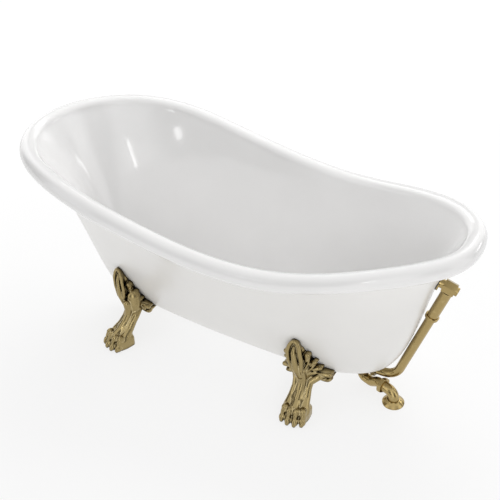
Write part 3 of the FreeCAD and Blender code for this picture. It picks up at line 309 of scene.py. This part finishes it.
# the feet get patina in their hollows plus painted shade from ambient occlusion
FOOT_BRASS = antique_brass("foot_brass", (0.028, 0.020, 0.009), (0.34, 0.265, 0.125),
                           (0.82, 0.69, 0.41), 0.24, cavity=True)
PIPE_BRASS = antique_brass("pipe_brass", (0.06, 0.04, 0.015), (0.40, 0.30, 0.13), (0.58, 0.46, 0.23), 0.20)
DARK_BRASS = antique_brass("dark_brass", (0.04, 0.03, 0.012), (0.16, 0.115, 0.05), (0.28, 0.21, 0.10), 0.30)
ZINC = plain("zinc_steel", (0.46, 0.47, 0.48), (0.62, 0.62, 0.62), 0.33, 1.0)
RUBBER = plain("black_rubber", (0.018, 0.018, 0.018), (0.035, 0.034, 0.033), 0.6)
PLYWOOD = plain("plywood", (0.42, 0.27, 0.14), (0.55, 0.38, 0.21), 0.6, 0.0, 7.0, (1.0, 14.0, 6.0))

# ---------------------------------------------------------------- tub

ANGLE = np.linspace(0, 2 * math.pi, AROUND, endpoint=False)


def basin_mesh():
    """Water side, rolled rim and the underside of the rim, as one smooth sheet."""
    join_above, join_below = math.radians(15), math.radians(20)
    lip = rim_ring(ANGLE, join_above)
    foot = foot_outline(ANGLE, BASIN_FOOT)
    base = basin_floor(foot[:, 0])
    levels = np.linspace(0, 1, 84) ** 2.0
    rings = [wall_ring(ANGLE, foot, base, lip, BASIN, level) for level in levels]
    turn, steps = 2 * math.pi - join_above - join_below, 54
    rings += [rim_ring(ANGLE, join_above + turn * k / steps) for k in range(1, steps + 1)]
    outer_lip = rim_ring(ANGLE, -join_below)
    outer_foot = foot_outline(ANGLE, BASIN_FOOT, BASIN_WALL)
    outer_base = basin_floor(outer_foot[:, 0]) - BASIN_WALL
    rings += [wall_ring(ANGLE, outer_foot, outer_base, outer_lip, BASIN, level)
              for level in np.linspace(1, 0, 40)[1:] ** 1.6]
    return lathe_rings(rings, closed_start=30, closed_end=12)


def skin_mesh():
    """Outer shell with its edge tucked under the rim."""
    rings = []
    edge_inset, reach = 57.0, RIM_ROLL + 0.3
    drop = RIM_ROLL + math.sqrt(reach ** 2 - (edge_inset - RIM_ROLL) ** 2)
    outside, inside = np.linspace(0, 1, 80) ** 2.0, np.linspace(1, 0, 40) ** 1.6
    for inset, levels in ((0.0, outside), (HULL_WALL, inside)):
        lip = lip_line(ANGLE, LIP_INSET + inset, LIP_DROP)
        foot = foot_outline(ANGLE, HULL_FOOT, -inset)
        base = np.full(AROUND, HULL_BOTTOM + inset)
        part = [wall_ring(ANGLE, foot, base, lip, HULL, level) for level in levels]
        edge = lip_line(ANGLE, edge_inset + inset, drop)
        rings += part + [edge] if inset == 0 else [edge] + part
    return lathe_rings(rings, closed_start=24, closed_end=8)


def without(points, faces, centre, axis, radius, reach):
    """Faces outside a hole bored along an axis."""
    middle = points[faces].mean(1) - centre
    along = middle @ axis
    across = np.linalg.norm(middle - along[:, None] * axis, axis=1)
    return faces[~((across < radius) & (np.abs(along) < reach))]


wall_lean = math.radians(18)
out_of_wall = np.array([math.cos(wall_lean), 0, -math.sin(wall_lean)])
plate_edge, gasket_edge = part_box("overflow_plate")[0].x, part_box("overflow_gasket")[1].x
overflow_place = np.array([(plate_edge + gasket_edge) / 2 / MM, 0, 540.0])
drain_place = np.array([497.0, 0, 140.0])
upward = np.array([0, 0, 1.0])

points, faces = basin_mesh()
faces = without(points, faces, drain_place, upward, *BASIN_DRAIN_HOLE)
faces = without(points, faces, overflow_place, out_of_wall, *OVERFLOW_HOLE)
basin = new_mesh("basin_and_rim", points, faces, INNER_ENAMEL)
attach(basin, "tub")
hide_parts("inner_basin")

points, faces = skin_mesh()
faces = without(points, faces, drain_place, upward, *HULL_DRAIN_HOLE)
faces = without(points, faces, overflow_place, out_of_wall, *OVERFLOW_HOLE)
skin = new_mesh("outer_shell", points, faces, OUTER_ENAMEL)
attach(skin, "tub")
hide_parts("outer_skin")

# ---------------------------------------------------------------- feet
# Solid fields in millimetres: negative inside. A runs along the foot's width towards the drain end,
# B away from the tub and W up; X and Y are the frame's own axes.

VOXEL, BAND = 2.0, 3  # size of a cell, and cells either side of the surface
FIELD_ROOM = {"head": 128, "drain": 112, "out": 78, "below": 4, "top": 318}
OFF_TUB = 0.4
STUD_HOLE = 5.6
HEEL_HALF_WIDTH, HEEL_HALF_DEPTH, HEEL_TOP, HEEL_ROUND = 50, 38, 50, 15
SADDLE_HALF_WIDTH, SADDLE_HEIGHT, SADDLE_TOP = 24, 14, 190
TOES = ((-36, 32, 14), (-12.5, 41, 4), (12.5, 41, -4), (36, 32, -14))  # A, B and turn in degrees
WEBS = ((-24.5, 38), (0, 43), (24.5, 38))
# line (x from the leaf's middle, z), half widths, heights off the tub, edge radius and ball radius
LOBES = [
    ([(10, 170), (26, 200), (36, 230)], [9, 12, 10], [52, 33, 17], 4.2, 10.5),
    ([(12, 158), (34, 180), (50, 196)], [9, 11, 9], [52, 34, 17], 4.0, 9.0),
    ([(14, 146), (38, 158), (58, 162)], [9, 10, 8], [52, 34, 18], 3.8, 8.5),
    ([(20, 134), (48, 138), (80, 132)], [10, 12, 9], [48, 34, 22], 4.0, 11.0),
    ([(26, 122), (50, 116), (72, 108)], [10, 11, 9], [44, 34, 24], 4.0, 11.5),
]
# place, turn in degrees, shift of the leaf's top, inner edge of the field, stud and shift of the leg
FEET = {
    "foot_head_front": {"x": -404.0, "y": 244.0, "turn": -18.0, "shift": -30.0, "inner": 26.0, "stud": 44.0,
                        "offset": (-3, -3)},
    "foot_drain_front": {"x": 349.0, "y": 264.0, "turn": 5.0, "shift": -34.0, "inner": 70.0, "stud": 88.0,
                         "offset": (13, 5)},
}


def smooth_union(first, second, blend):
    share = np.clip(0.5 + 0.5 * (second - first) / blend, 0, 1)
    return second + (first - second) * share - blend * share * (1 - share)


def smooth_cut(body, tool, blend):
    return -smooth_union(-body, tool, blend)


def egg_field(p, centre, radii, turn=0.0):
    """Field of an egg form, turned about W."""
    a, b, w = p[0] - centre[0], p[1] - centre[1], p[2] - centre[2]
    c, s = math.cos(math.radians(turn)), math.sin(math.radians(turn))
    a, b = c * a + s * b, -s * a + c * b
    size = np.sqrt((a / radii[0]) ** 2 + (b / radii[1]) ** 2 + (w / radii[2]) ** 2)
    return (size - 1) * min(radii)


def rod_field(p, line, radii):
    """Field of a round rod through points, with its own radius at each."""
    result = None
    for (start, end), (r0, r1) in zip(zip(line, line[1:]), zip(radii, radii[1:])):
        start, end = np.array(start, float), np.array(end, float)
        along = end - start
        length = float(along @ along)
        share = np.clip(sum((p[k] - start[k]) * along[k] for k in range(3)) / length, 0, 1)
        gap = np.sqrt(sum((p[k] - start[k] - share * along[k]) ** 2 for k in range(3)))
        field = gap - (r0 + (r1 - r0) * share)
        result = field if result is None else np.minimum(result, field)
    return result


def sculpt_foot(side):
    """Field mesh of a front foot, from one entry of FEET."""
    x0, y0, turn = side["x"], side["y"], math.radians(side["turn"])
    xs = np.arange(x0 - FIELD_ROOM["head"], x0 + FIELD_ROOM["drain"], VOXEL, dtype=np.float32)
    ys = np.arange(-y0 - FIELD_ROOM["out"], -side["inner"], VOXEL, dtype=np.float32)
    zs = np.arange(-FIELD_ROOM["below"], FIELD_ROOM["top"], VOXEL, dtype=np.float32)
    gx, gy, gz = np.meshgrid(xs, ys, zs, indexing="ij")
    along = np.array([math.cos(turn), math.sin(turn)])
    away = np.array([math.sin(turn), -math.cos(turn)])
    rx, ry = gx - x0, gy + y0
    p = (rx * along[0] + ry * along[1], rx * away[0] + ry * away[1], gz)

    # distance out from the tub's side, for the leaf that lies on it
    half = np.empty((len(xs), len(zs)), np.float32)
    for k, z in enumerate(zs):
        half[:, k] = hull_half_width(xs, max(z, HULL_BOTTOM + OFF_TUB))
    slope = np.gradient(half, VOXEL, axis=1)
    slope[:, zs < HULL_BOTTOM + 4] = slope[:, zs >= HULL_BOTTOM + 4][:, :1]
    steep = 1 / np.sqrt(1 + slope ** 2)
    beside = (-gy - half[:, None, :]) * steep[:, None, :]
    below = HULL_BOTTOM - gz
    corner = np.sqrt(np.maximum(beside, 0) ** 2 + np.maximum(below, 0) ** 2)
    off = np.where(gz < HULL_BOTTOM, np.where(beside > 0, corner, below), beside)

    def local(x, y, z):
        dx, dy = x - x0, y + y0
        return (dx * along[0] + dy * along[1], dx * away[0] + dy * away[1], z)

    oa, ob = side["offset"]

    def moved(line):
        return [(a + oa, b + ob, w) for a, b, w in line]

    def on_tub(x, z, height):
        station = np.array([x0 + oa + x])
        half_width = float(hull_half_width(station, max(z, HULL_BOTTOM + OFF_TUB))[0])
        return local(x0 + oa + x, -half_width - height, z)

    # leg: a leaning trunk, a tendon down its front and one on either side that starts at the tub
    trunk = moved([(0, -14, 34), (0, -28, 52), (0, -46, 72), (0, -66, 96), (-2, -80, 120),
                   (-4, -86, 150), (-8, -90, 178)])
    body = rod_field(p, trunk, [34, 32, 27, 25, 26, 30, 28])
    middle_tendon = moved([(0, 12, 54), (0, -10, 66), (1, -36, 90), (2, -52, 116), (0, -56, 140),
                           (-2, -52, 162)])
    body = smooth_union(body, rod_field(p, middle_tendon, [14, 14, 14, 14, 15, 14]), 3)
    for sign in (-1, 1):
        line = moved([(sign * 29, -8, 46), (sign * 24, -34, 64), (sign * 21, -56, 90),
                      (sign * 23, -70, 110)])
        line += [on_tub(sign * 40, 126, 44), on_tub(sign * 62, 116, 24)]
        body = smooth_union(body, rod_field(p, line, [16, 16, 15, 15, 14, 11]), 3)

    # paw: a broad heel block, knuckles, toe tips and the hollows between them
    narrowing = 0.18 * np.maximum(p[1] - ob, 0)
    qa = np.maximum(np.abs(p[0] - oa) - HEEL_HALF_WIDTH + narrowing + HEEL_ROUND, 0)
    qb = np.maximum(np.abs(p[1] - ob + 2) - HEEL_HALF_DEPTH + HEEL_ROUND, 0)
    qw = np.maximum(p[2] - HEEL_TOP + HEEL_ROUND + 0.12 * np.abs(p[0] - oa), 0)
    heel = np.sqrt(qa ** 2 + qb ** 2 + qw ** 2) - HEEL_ROUND
    body = smooth_union(body, heel, 12)
    for a, b, fan in TOES:
        knuckle = egg_field(p, (a * 0.9 + oa, b - 15 + ob, 48), (12.5, 15, 13), fan)
        body = smooth_union(body, knuckle, 5)
        body = smooth_union(body, egg_field(p, (a * 0.96 + oa, b - 7 + ob, 28), (11.5, 13, 21), fan), 3)
        body = smooth_union(body, egg_field(p, (a + oa, b + 1 + ob, 14), (12.6, 15, 16), fan), 2)
        nail = egg_field(p, (a * 1.02 + oa, b + 13 + ob, 9), (7.5, 6, 10), fan)
        body = smooth_union(body, nail, 2)
    for a, b in WEBS:
        web = egg_field(p, (a * 0.95 + oa, b - 12 + ob, 20), (12, 16, 20))
        body = smooth_union(body, web, 3)
        hollow = egg_field(p, (a + oa, b + 2 + ob, 33), (6.0, 10, 8))
        body = smooth_cut(body, hollow, 2.5)

    # leaf: its forms are drawn on the tub's side as (x, z) lines with a height off the tub
    def leaf_middle(z):
        return x0 + oa + side["shift"] * min(max((z - 100) / 150, 0), 1)

    def near_line(line):
        """Gap in the tub's side to a line, and the share of the way along it."""
        gap = np.full(gx.shape, 1e9, np.float32)
        share_at = np.zeros(gx.shape, np.float32)
        count = len(line) - 1
        for k, (q0, q1) in enumerate(zip(line, line[1:])):
            ax, az = q1[0] - q0[0], q1[1] - q0[1]
            share = np.clip(((gx - q0[0]) * ax + (gz - q0[1]) * az) / (ax * ax + az * az), 0, 1)
            here = np.sqrt((gx - q0[0] - share * ax) ** 2 + (gz - q0[1] - share * az) ** 2)
            closer = here < gap
            gap = np.where(closer, here, gap)
            share_at = np.where(closer, (k + share) / count, share_at)
        return gap, share_at

    def table(values, share):
        return np.interp(share, np.linspace(0, 1, len(values)), values)

    def drawn(line, mirror=1):
        return [(leaf_middle(z) + mirror * x, z) for x, z in line]

    def rib(line, radii, heights, blend, mirror=1):
        nonlocal body
        gap, share = near_line(drawn(line, mirror))
        field = np.sqrt(gap ** 2 + (off - table(heights, share)) ** 2) - table(radii, share)
        body = smooth_union(body, field, blend)

    def plate(line, widths, heights, blend, mirror=1):
        nonlocal body
        gap, share = near_line(drawn(line, mirror))
        edge = gap - table(widths, share)
        crown = np.sqrt(np.clip(-edge / 14, 0, 1))
        field = np.maximum(edge, off - table(heights, share) * (0.6 + 0.4 * crown))
        body = smooth_union(body, field, blend)

    def dome(line, widths, heights, blend):
        nonlocal body
        gap, share = near_line(drawn(line))
        wide = table(widths, share)
        arch = table(heights, share) * np.sqrt(np.clip(1 - (gap / wide) ** 2, 0, 1))
        body = smooth_union(body, np.maximum(0.8 * (off - arch), gap - wide), blend)

    dome([(4, 122), (2, 150), (0, 180), (0, 212), (0, 244)], [34, 38, 37, 32, 24],
         [56, 60, 50, 34, 18], 6)
    plate([(4, 138), (2, 165), (0, 200), (0, 240), (0, 280)], [12, 17, 20, 20, 15],
          [66, 68, 56, 37, 12], 3)
    rib([(3, 148), (1, 180), (0, 215), (0, 245), (0, 266)], [9, 12, 12, 10, 6],
        [68, 61, 46, 31, 18], 2)
    for mirror in (-1, 1):
        rib([(8, 146), (16, 180), (22, 215), (21, 246), (17, 268), (9, 284), (0, 289)],
            [6, 7, 7.5, 7.5, 7, 7, 7], [66, 60, 45, 31, 20, 13, 11], 2, mirror)
        for line, widths, heights, radius, ball in LOBES:
            plate(line, widths, heights, 2.5, mirror)
            left_edge, right_edge = [], []
            for k, ((x, z), wide) in enumerate(zip(line, widths)):
                ahead = line[min(k + 1, len(line) - 1)]
                behind = line[max(k - 1, 0)]
                dx, dz = ahead[0] - behind[0], ahead[1] - behind[1]
                size = math.hypot(dx, dz)
                left_edge.append((x - dz / size * (wide - 3), z + dx / size * (wide - 3)))
                right_edge.append((x + dz / size * (wide - 3), z - dx / size * (wide - 3)))
            for edge_line in (left_edge, right_edge):
                rib(edge_line + [line[-1]], [radius] * len(edge_line) + [radius + 1],
                    heights + [heights[-1]], 2, mirror)
            rib(line[-2:], [2, ball], [heights[-2], heights[-1] + 2], 2.5, mirror)

    # seat that runs from the leg under the tub
    strip = np.abs(gx - x0) - SADDLE_HALF_WIDTH
    saddle = np.maximum(np.maximum(strip, off - SADDLE_HEIGHT),
                        np.maximum(gz - SADDLE_TOP, -off + OFF_TUB))
    body = smooth_union(body, saddle, 6)

    # cut off at the tub, the floor, the stud's hole and the outer cells of the field
    body = np.maximum(body, -off + OFF_TUB)
    body = np.maximum(body, -gz)
    hole = np.sqrt((gx - x0) ** 2 + (gy + side["stud"]) ** 2) - STUD_HOLE
    body = np.maximum(body, -hole)
    for cells in (np.s_[:BAND], np.s_[-BAND:], np.s_[:, :BAND], np.s_[:, -BAND:]):
        body[cells] = np.maximum(body[cells], 1)

    grid = openvdb.FloatGrid(BAND * VOXEL)
    grid.copyFromArray(np.clip(body, -BAND * VOXEL, BAND * VOXEL).astype(np.float32))
    vertices, triangles, quads = grid.convertToPolygons(isovalue=0.0, adaptivity=0.0)
    vertices = np.array(vertices) * VOXEL + np.array([xs[0], ys[0], zs[0]])
    return vertices, [list(map(int, f))[::-1] for f in list(triangles) + list(quads)]


for node, side in FEET.items():
    vertices, polygons = sculpt_foot(side)
    for mirrored, name in ((False, node), (True, node.replace("front", "back"))):
        place = vertices * np.array([1, -1 if mirrored else 1, 1])
        shape = bpy.data.meshes.new("sculpted_" + name)
        shape.from_pydata((place * MM).tolist(), [], [f[::-1] for f in polygons] if mirrored else polygons)
        shape.polygons.foreach_set("use_smooth", [True] * len(shape.polygons))
        shape.materials.append(FOOT_BRASS)
        shape.update()
        foot = bpy.data.objects.new("sculpted_" + name, shape)
        bpy.context.scene.collection.objects.link(foot)
        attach(foot, "tub")
        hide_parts(name)

# ---------------------------------------------------------------- CAD pieces that show as they are

LOOKS = {
    PLYWOOD: ["base_board"],
    ZINC: ["foot_inserts", "foot_studs", "foot_washers", "foot_nuts"],
    RUBBER: ["strainer_gasket", "shoe_gasket", "trap_seal", "overflow_tube_seal", "overflow_gasket",
             "overflow_plate_gasket", "stopper_seal"],
    DARK_BRASS: ["trap_inlet_nut", "overflow_tube_nut", "overflow_screws", "stopper_post", "stopper_guide"],
    PIPE_BRASS: ["drain_strainer", "drain_shoe", "trap_bend", "trap_outlet_nut", "tail_elbow", "floor_flange",
                 "overflow_tube", "overflow_sleeve", "overflow_head", "overflow_plate", "stopper_plug",
                 "stopper_knob"],
}
EDGED = {"trap_inlet_nut": 0.8, "overflow_tube_nut": 0.8, "trap_outlet_nut": 0.9, "foot_nuts": 0.6,
         "overflow_head": 0.9, "overflow_sleeve": 0.6, "drain_shoe": 0.8, "floor_flange": 0.8,
         "overflow_plate": 0.5, "drain_strainer": 0.4, "stopper_plug": 0.5, "stopper_knob": 0.6}

for material, names in LOOKS.items():
    for name in names:
        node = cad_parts[name]
        node.data.materials.clear()
        node.data.materials.append(material)
        if name in EDGED:
            soften = node.modifiers.new("soft_edges", "BEVEL")
            soften.width = EDGED[name] * MM
            soften.segments = 2
            soften.limit_method = "ANGLE"
            soften.angle_limit = math.radians(32)
            soften.harden_normals = False

# ---------------------------------------------------------------- floor, light and camera

scene = bpy.context.scene


def stage_plane(name, size, place, material):
    bpy.ops.mesh.primitive_plane_add(size=size, location=place)
    plane = bpy.context.object
    plane.name = name
    plane.data.materials.append(material)


FLOOR_GLOW, FLOOR_SHINE = 0.75, 1.03
GLOW_STARTS, GLOW_FULL = 1.0, 2.3
PANEL_DARK, PANEL_LIGHT, CEILING, MIRRORED_ROOM = 0.12, 0.95, 0.66, 1.7
PANEL_COUNT, PANEL_TURN = 5.0, 0.9
floor_material, floor_tree, floor_shader = node_material("pale_floor")
floor_shader.inputs["Base Color"].default_value = (0.80, 0.80, 0.80, 1)
floor_shader.inputs["Roughness"].default_value = 0.9
floor_shader.inputs["Specular IOR Level"].default_value = 0.0
spot = add(floor_tree, "ShaderNodeTexCoord")
spread_out = add(floor_tree, "ShaderNodeVectorMath", operation="LENGTH")
floor_tree.links.new(spot.outputs["Object"], spread_out.inputs[0])
away_from_tub = span(floor_tree, spread_out.outputs["Value"], GLOW_STARTS, GLOW_FULL, 0.0, 1.0)
shine = add(floor_tree, "ShaderNodeEmission", Strength=FLOOR_SHINE)
shine.inputs["Color"].default_value = (1, 1, 1, 1)
blend_floor = add(floor_tree, "ShaderNodeMixShader")
part_lit = span(floor_tree, away_from_tub, 0.0, 1.0, FLOOR_GLOW, 1.0)
floor_tree.links.new(part_lit, blend_floor.inputs["Fac"])
floor_tree.links.new(floor_shader.outputs["BSDF"], blend_floor.inputs[1])
floor_tree.links.new(shine.outputs["Emission"], blend_floor.inputs[2])
floor_out = floor_tree.nodes["Material Output"]
floor_tree.links.new(blend_floor.outputs["Shader"], floor_out.inputs["Surface"])
stage_plane("floor", 40.0, (0, 0, -0.0005), floor_material)

world = bpy.data.worlds.new("studio")
scene.world = world
world.use_nodes = True
tree = world.node_tree
background = tree.nodes["Background"]
background.inputs["Color"].default_value = (1, 1, 1, 1)
path = add(tree, "ShaderNodeLightPath")
direction = add(tree, "ShaderNodeTexCoord")
parts = add(tree, "ShaderNodeSeparateXYZ")
tree.links.new(direction.outputs["Generated"], parts.inputs["Vector"])
turn = add(tree, "ShaderNodeMath", operation="ARCTAN2")
tree.links.new(parts.outputs["Y"], turn.inputs[0])
tree.links.new(parts.outputs["X"], turn.inputs[1])
panels = add(tree, "ShaderNodeMath", operation="MULTIPLY_ADD")
tree.links.new(turn.outputs[0], panels.inputs[0])
panels.inputs[1].default_value = PANEL_COUNT
panels.inputs[2].default_value = PANEL_TURN
wave = add(tree, "ShaderNodeMath", operation="SINE")
tree.links.new(panels.outputs[0], wave.inputs[0])
# five tall soft panels round the room, darker between them, under an even ceiling
panel_light = span(tree, wave.outputs[0], -0.5, 0.6, PANEL_DARK, PANEL_LIGHT)
ceiling = span(tree, parts.outputs["Z"], 0.55, 0.85, 0.0, 1.0)
room = add(tree, "ShaderNodeMix", data_type="FLOAT")
tree.links.new(ceiling, room.inputs["Factor"])
tree.links.new(panel_light, room.inputs["A"])
room.inputs["B"].default_value = CEILING
mirrored = span(tree, path.outputs["Is Glossy Ray"], 0.0, 1.0, 1.0, MIRRORED_ROOM)
seen_room = add(tree, "ShaderNodeMath", operation="MULTIPLY")
tree.links.new(room.outputs["Result"], seen_room.inputs[0])
tree.links.new(mirrored, seen_room.inputs[1])
strength = add(tree, "ShaderNodeMix", data_type="FLOAT")
tree.links.new(path.outputs["Is Camera Ray"], strength.inputs["Factor"])
tree.links.new(seen_room.outputs[0], strength.inputs["A"])
strength.inputs["B"].default_value = 1.0
tree.links.new(strength.outputs["Result"], background.inputs["Strength"])


def softbox(name, place, target, width, height, power, seen=True, roll=0.0):
    """Rectangular lamp that looks at target; seen says whether surfaces mirror it."""
    light = bpy.data.lights.new(name, "AREA")
    light.shape = "RECTANGLE"
    light.size = width
    light.size_y = height
    light.energy = power
    lamp = bpy.data.objects.new(name, light)
    scene.collection.objects.link(lamp)
    lamp.location = place
    facing = (Vector(target) - Vector(place)).to_track_quat("-Z", "Y").to_matrix()
    lamp.rotation_euler = (facing @ Matrix.Rotation(math.radians(roll), 3, "Z")).to_euler()
    lamp.visible_glossy = seen


softbox("overhead", (-0.5, 1.7, 3.1), (-0.1, 0, 0.4), 3.0, 2.0, 58, seen=False)
softbox("key", (2.2, -2.2, 2.2), (0.2, 0, 0.4), 1.6, 1.2, 20, seen=False)
softbox("crest_light", (-0.6, 2.6, 2.9), (0, 0, 0.5), 3.0, 0.5, 12)
softbox("window_spot", (-0.46, -3.4, 2.22), (-0.42, 0.28, 0.66), 0.14, 0.30, 1.0)
softbox("side_strip", (1.08, -3.10, 2.00), (-0.57, 0.17, 0.56), 0.16, 0.75, 2.4, roll=-20)
softbox("end_strip", (2.9, 2.4, 1.5), (-0.7, 0, 0.75), 0.9, 0.5, 6)

SENSOR, FOCAL_PIXELS, PICTURE_PIXELS = 36.0, 875.94, 500.0
CAMERA_DISTANCE, AIM_HEIGHT = 3.15297, 0.4
azimuth, elevation, roll = math.radians(30.441), math.radians(36.23), math.radians(2.005)
back = Vector((math.sin(azimuth) * math.cos(elevation), -math.cos(azimuth) * math.cos(elevation),
               math.sin(elevation)))
right = Vector((math.cos(azimuth), math.sin(azimuth), 0))
up = back.cross(right)
camera_data = bpy.data.cameras.new("camera")
camera = bpy.data.objects.new("camera", camera_data)
scene.collection.objects.link(camera)
camera_data.sensor_width = SENSOR
camera_data.lens = SENSOR * FOCAL_PIXELS / PICTURE_PIXELS
camera_data.shift_x = 0.02103
camera_data.shift_y = 0.00913
turned_right = right * math.cos(roll) - up * math.sin(roll)
turned_up = up * math.cos(roll) + right * math.sin(roll)
basis = Matrix((turned_right, turned_up, back)).transposed()
stand = Vector((0, 0, AIM_HEIGHT)) + back * CAMERA_DISTANCE
camera.matrix_world = Matrix.Translation(stand) @ basis.to_4x4()
scene.camera = camera

scene.view_settings.view_transform = "Standard"
